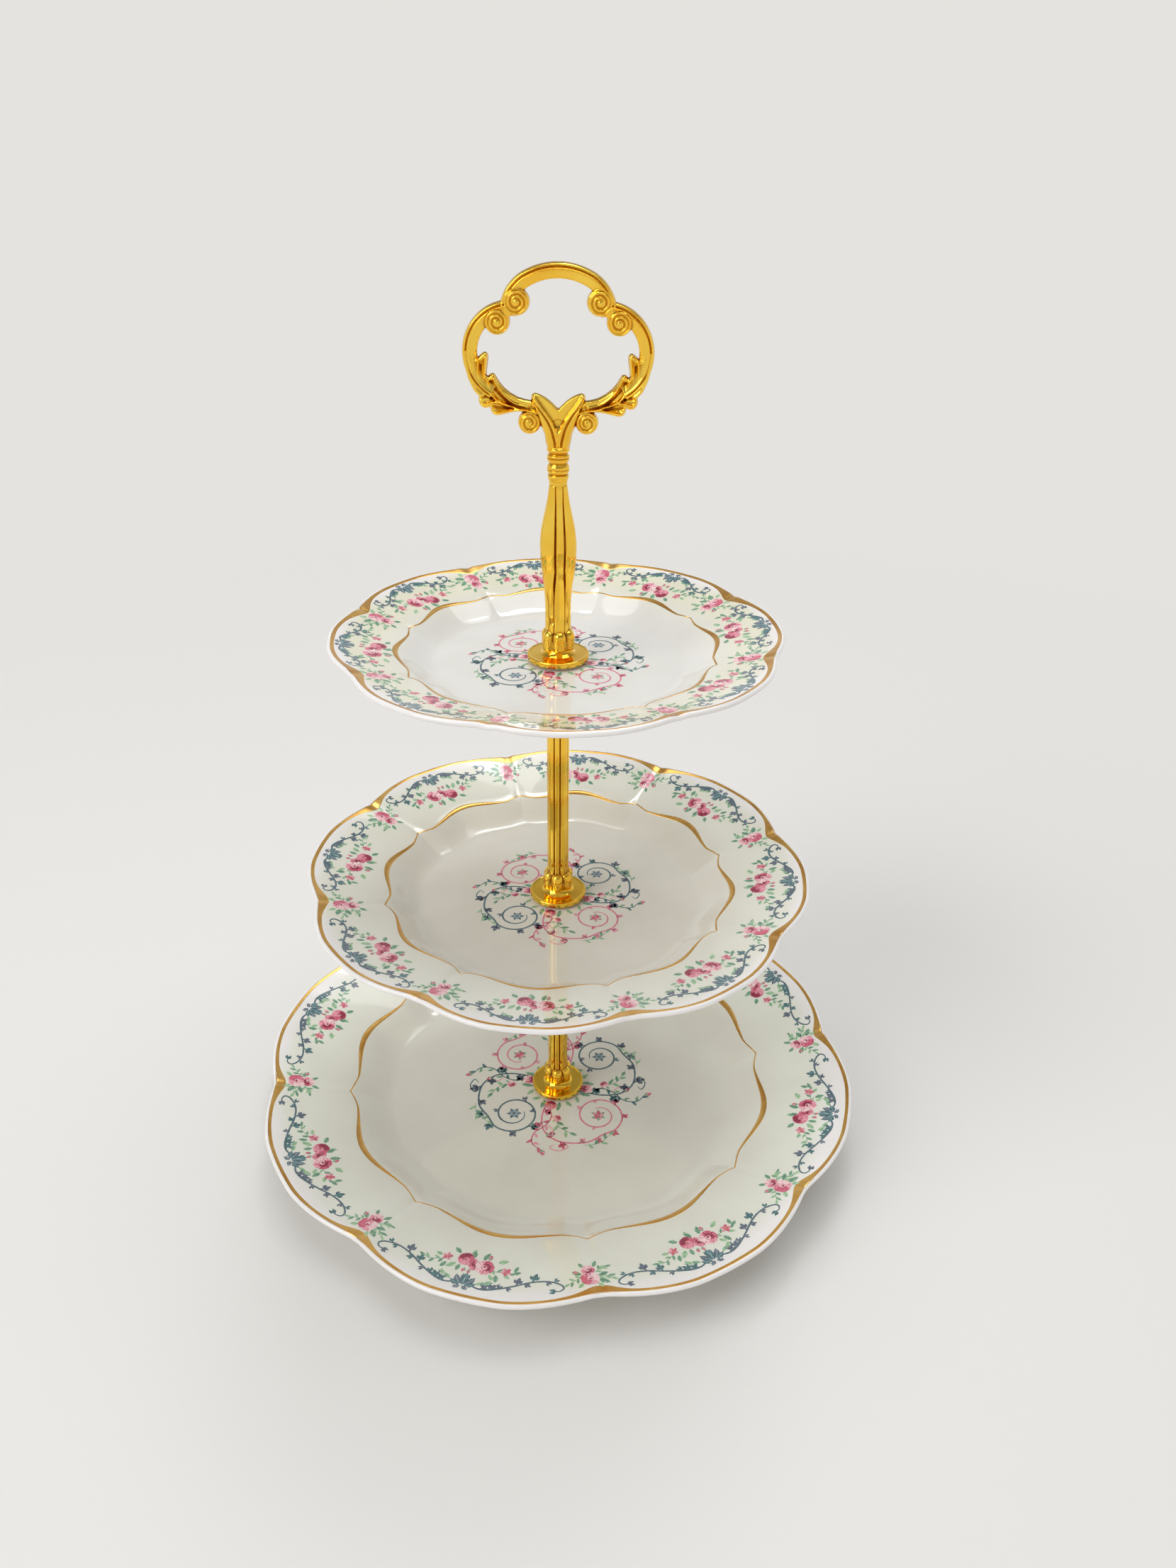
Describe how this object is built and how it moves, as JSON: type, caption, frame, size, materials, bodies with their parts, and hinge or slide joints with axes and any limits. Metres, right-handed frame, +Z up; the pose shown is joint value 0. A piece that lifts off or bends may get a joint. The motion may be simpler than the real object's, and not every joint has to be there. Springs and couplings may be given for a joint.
{
  "type": "tiered cake stand",
  "caption": "Three-tier cake stand: lobed porcelain plates clamped on screwed gilt rods, with a scrolled ring handle.",
  "frame": {"origin": "on the table, at the foot ring's centre under the rods' axis", "axes": "+Z up along the rods; the ring handle's face looks along -Y"},
  "size_m": [0.2494, 0.2494, 0.342],
  "materials": {
    "porcelain": "glossy glaze",
    "gilt_metal": "polished gold plate",
    "plated_steel": "zinc plated",
    "soft_washer": "soft matte"
  },
  "bodies": {
    "base": {"bottom_plate": "porcelain", "bottom_lower_cushion": "soft_washer", "bottom_cushion_washer": "soft_washer"},
    "lower_column": {"lower_rod": "gilt_metal", "lower_stud": "plated_steel", "middle_support_washer": "gilt_metal"},
    "bolt_washer": {"bottom_support_washer": "gilt_metal"},
    "bolt": {"bottom_bolt": "plated_steel"},
    "middle_tier": {"middle_plate": "porcelain", "middle_lower_cushion": "soft_washer"},
    "middle_clamp_washer": {"middle_cushion_washer": "soft_washer"},
    "upper_column": {"upper_rod": "gilt_metal", "upper_stud": "plated_steel", "top_support_washer": "gilt_metal"},
    "top_tier": {"top_plate": "porcelain", "top_lower_cushion": "soft_washer"},
    "top_clamp_washer": {"top_cushion_washer": "soft_washer"},
    "carry_handle": {"handle": "gilt_metal"}
  },
  "joints": [
    {"name": "column_swivel", "type": "hinge", "parent": "base", "child": "lower_column", "pos_m": [0, 0, 0.0093], "axis": [0, 0, 1], "continuous": true},
    {"name": "bolt_travel", "type": "slide", "parent": "lower_column", "child": "bolt_washer", "axis": [0, 0, -1], "range_m": [0, 0.0096]},
    {"name": "bolt_screw", "type": "hinge", "parent": "bolt_washer", "child": "bolt", "pos_m": [0, 0, 0.0027], "axis": [0, 0, -1], "range_deg": [0, 4330]},
    {"name": "middle_plate_swivel", "type": "hinge", "parent": "lower_column", "child": "middle_tier", "pos_m": [0, 0, 0.1063], "axis": [0, 0, 1], "continuous": true},
    {"name": "upper_column_travel", "type": "slide", "parent": "lower_column", "child": "middle_clamp_washer", "axis": [0, 0, 1], "range_m": [0, 0.0096]},
    {"name": "upper_column_screw", "type": "hinge", "parent": "middle_clamp_washer", "child": "upper_column", "pos_m": [0, 0, 0.1109], "axis": [0, 0, 1], "range_deg": [0, 4330]},
    {"name": "top_plate_swivel", "type": "hinge", "parent": "upper_column", "child": "top_tier", "pos_m": [0, 0, 0.2079], "axis": [0, 0, 1], "continuous": true},
    {"name": "handle_travel", "type": "slide", "parent": "upper_column", "child": "top_clamp_washer", "axis": [0, 0, 1], "range_m": [0, 0.0096]},
    {"name": "handle_screw", "type": "hinge", "parent": "top_clamp_washer", "child": "carry_handle", "pos_m": [0, 0, 0.2125], "axis": [0, 0, 1], "range_deg": [0, 4330]}
  ],
  "couplings": [
    {"joint": "bolt_screw", "follows": "bolt_travel", "rad_per_m": 7854},
    {"joint": "upper_column_screw", "follows": "upper_column_travel", "rad_per_m": 7854},
    {"joint": "handle_screw", "follows": "handle_travel", "rad_per_m": 7854}
  ]
}
